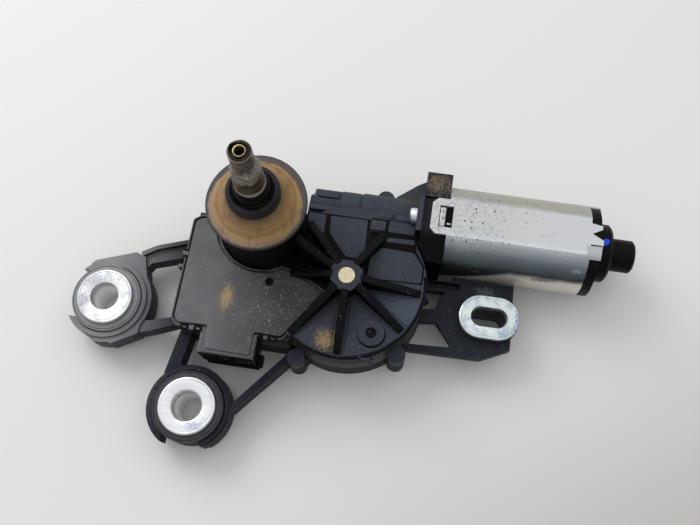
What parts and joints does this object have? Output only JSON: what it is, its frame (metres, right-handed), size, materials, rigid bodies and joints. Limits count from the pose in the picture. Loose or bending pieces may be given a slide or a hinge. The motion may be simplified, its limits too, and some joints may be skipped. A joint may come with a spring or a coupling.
{
  "type": "rear wiper motor",
  "caption": "Geared electric motor that swings a wiper arm shaft back and forth, with a ribbed gear housing, a sealed shaft tower and three rubber-mounted feet.",
  "frame": {"origin": "on the output shaft's axis, in the plane of the flat back of the mounting base", "axes": "+X along the motor's axis towards its end cap, +Z along the output shaft towards its threaded tip, +Y away from the lower bush"},
  "size_m": [0.2078, 0.112, 0.0915],
  "materials": {
    "housing_plastic": "slate grey-blue glass-filled plastic, finely grained",
    "cover_plastic": "dark grey plastic, finely grained",
    "black_plastic": "satin black plastic",
    "black_rubber": "matt black rubber",
    "seal_rubber": "rubber under tan dust",
    "zinc_steel": "bright zinc plating",
    "can_steel": "galvanised sheet steel",
    "shaft_steel": "weathered steel",
    "plain_steel": "machined steel",
    "bronze": "sintered bronze",
    "axle_brass": "pale brass, dusty",
    "copper": "enamelled copper wire",
    "gear_plastic": "natural acetal",
    "ferrite": "ferrite",
    "carbon": "carbon brush",
    "board": "green board",
    "component_black": "black component case",
    "component_silver": "aluminium can"
  },
  "bodies": {
    "housing": {"axle_clip": "plain_steel", "brush_holder": "black_plastic", "brush_springs": "plain_steel", "brushes": "carbon", "capacitor": "component_silver", "choke": "copper", "circuit_board": "board", "connector_pins": "zinc_steel", "connector_shroud": "cover_plastic", "electronics_cover": "cover_plastic", "front_bearing": "bronze", "gear_housing": "housing_plastic", "grommet_lower": "black_rubber", "grommet_slotted": "black_rubber", "grommet_upper": "black_rubber", "housing_screws": "plain_steel", "magnet_back": "ferrite", "magnet_front": "ferrite", "motor_can": "can_steel", "motor_end_cap": "black_plastic", "motor_flange": "black_plastic", "motor_screws": "zinc_steel", "mounting_base": "housing_plastic", "output_bush_lower": "bronze", "output_bush_upper": "bronze", "rear_bearing": "bronze", "relay": "component_black", "seal_collar": "black_rubber", "shaft_seal": "seal_rubber", "sleeve_lower": "zinc_steel", "sleeve_slotted": "zinc_steel", "sleeve_upper": "zinc_steel", "thrust_ball": "plain_steel", "thrust_bush": "bronze", "wheel_axle": "axle_brass"},
    "armature": {"armature_shaft": "plain_steel", "armature_core": "plain_steel", "winding_front": "copper", "winding_rear": "copper", "commutator": "copper"},
    "wheel": {"worm_wheel": "gear_plastic", "crank_pin": "plain_steel"},
    "guide_link": {"guide_link": "plain_steel"},
    "sector_rod": {"sector_rod": "plain_steel"},
    "output": {"output_shaft": "shaft_steel", "output_pinion": "plain_steel", "stop_washer": "shaft_steel", "circlip": "plain_steel"}
  },
  "joints": [
    {"name": "armature_spin", "type": "hinge", "parent": "housing", "child": "armature", "pos_m": [0.0337, 0.01225, 0.017], "axis": [1, 0, 0], "range_deg": [0, 8640]},
    {"name": "wheel_turn", "type": "hinge", "parent": "housing", "child": "wheel", "pos_m": [0.0337, -0.01625, 0.017], "axis": [0, 0, 1], "range_deg": [0, 180]},
    {"name": "guide_swing", "type": "hinge", "parent": "housing", "child": "guide_link", "pos_m": [0, 0, 0.004], "axis": [0, 0, 1], "range_deg": [0, 51.89]},
    {"name": "rod_swing", "type": "hinge", "parent": "guide_link", "child": "sector_rod", "pos_m": [-0.01255, -0.00992, 0.0075], "axis": [0, 0, 1], "range_deg": [-51.89, 0]},
    {"name": "output_sweep", "type": "hinge", "parent": "housing", "child": "output", "pos_m": [0, 0, 0.04], "axis": [0, 0, 1], "range_deg": [0, 129.72]}
  ],
  "couplings": [
    {"joint": "wheel_turn", "follows": "armature_spin", "ratio": 0.020833},
    {"joint": "guide_swing", "follows": "armature_spin", "ratio": 0.0060057},
    {"joint": "rod_swing", "follows": "armature_spin", "ratio": -0.0060057},
    {"joint": "output_sweep", "follows": "armature_spin", "ratio": 0.015014}
  ]
}
